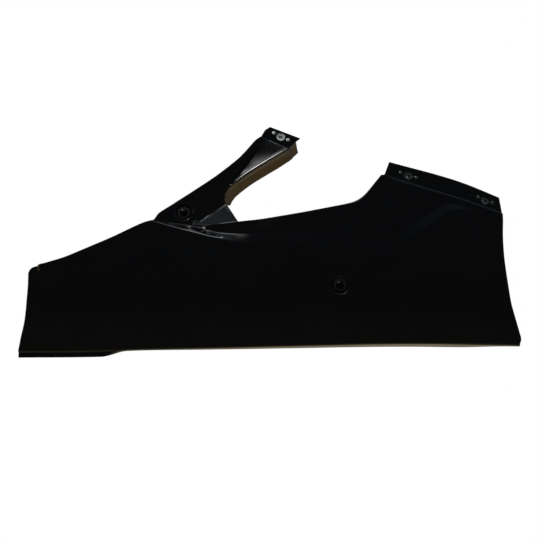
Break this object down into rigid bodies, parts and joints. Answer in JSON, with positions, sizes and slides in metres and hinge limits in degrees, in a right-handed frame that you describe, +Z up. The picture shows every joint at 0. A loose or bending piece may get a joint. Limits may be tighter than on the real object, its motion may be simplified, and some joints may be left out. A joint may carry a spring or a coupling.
{
  "type": "motorcycle belly pan",
  "caption": "Left half of a gloss black motorcycle belly pan with an air vent, an upright strut, joggled flanges with quarter-turn receptacles and rubber-mounted screw seats.",
  "frame": {"origin": "centre of the screw hole at the outer end of the side sleeve", "axes": "+X along the pan towards the tail, +Y inboard across the motorcycle, +Z up; the wheel-arch end is at -X"},
  "size_m": [0.7691, 0.07, 0.3676],
  "materials": {
    "moulding": "gloss black moulded and lacquered plastic",
    "receptacle": "zinc-plated pressed steel",
    "spring_wire": "drawn spring wire",
    "rivet": "domed, dull",
    "grommet": "moulded rubber",
    "sleeve": "turned and zinc-plated"
  },
  "bodies": {
    "root": {"panel": "moulding", "strut_receptacle": "receptacle", "strut_spring": "spring_wire", "strut_rivets": "rivet", "front_receptacle": "receptacle", "front_spring": "spring_wire", "front_rivets": "rivet", "rear_receptacle": "receptacle", "rear_spring": "spring_wire", "rear_rivets": "rivet", "side_grommet": "grommet", "side_sleeve": "sleeve", "root_grommet": "grommet", "root_sleeve": "sleeve"}
  },
  "joints": []
}
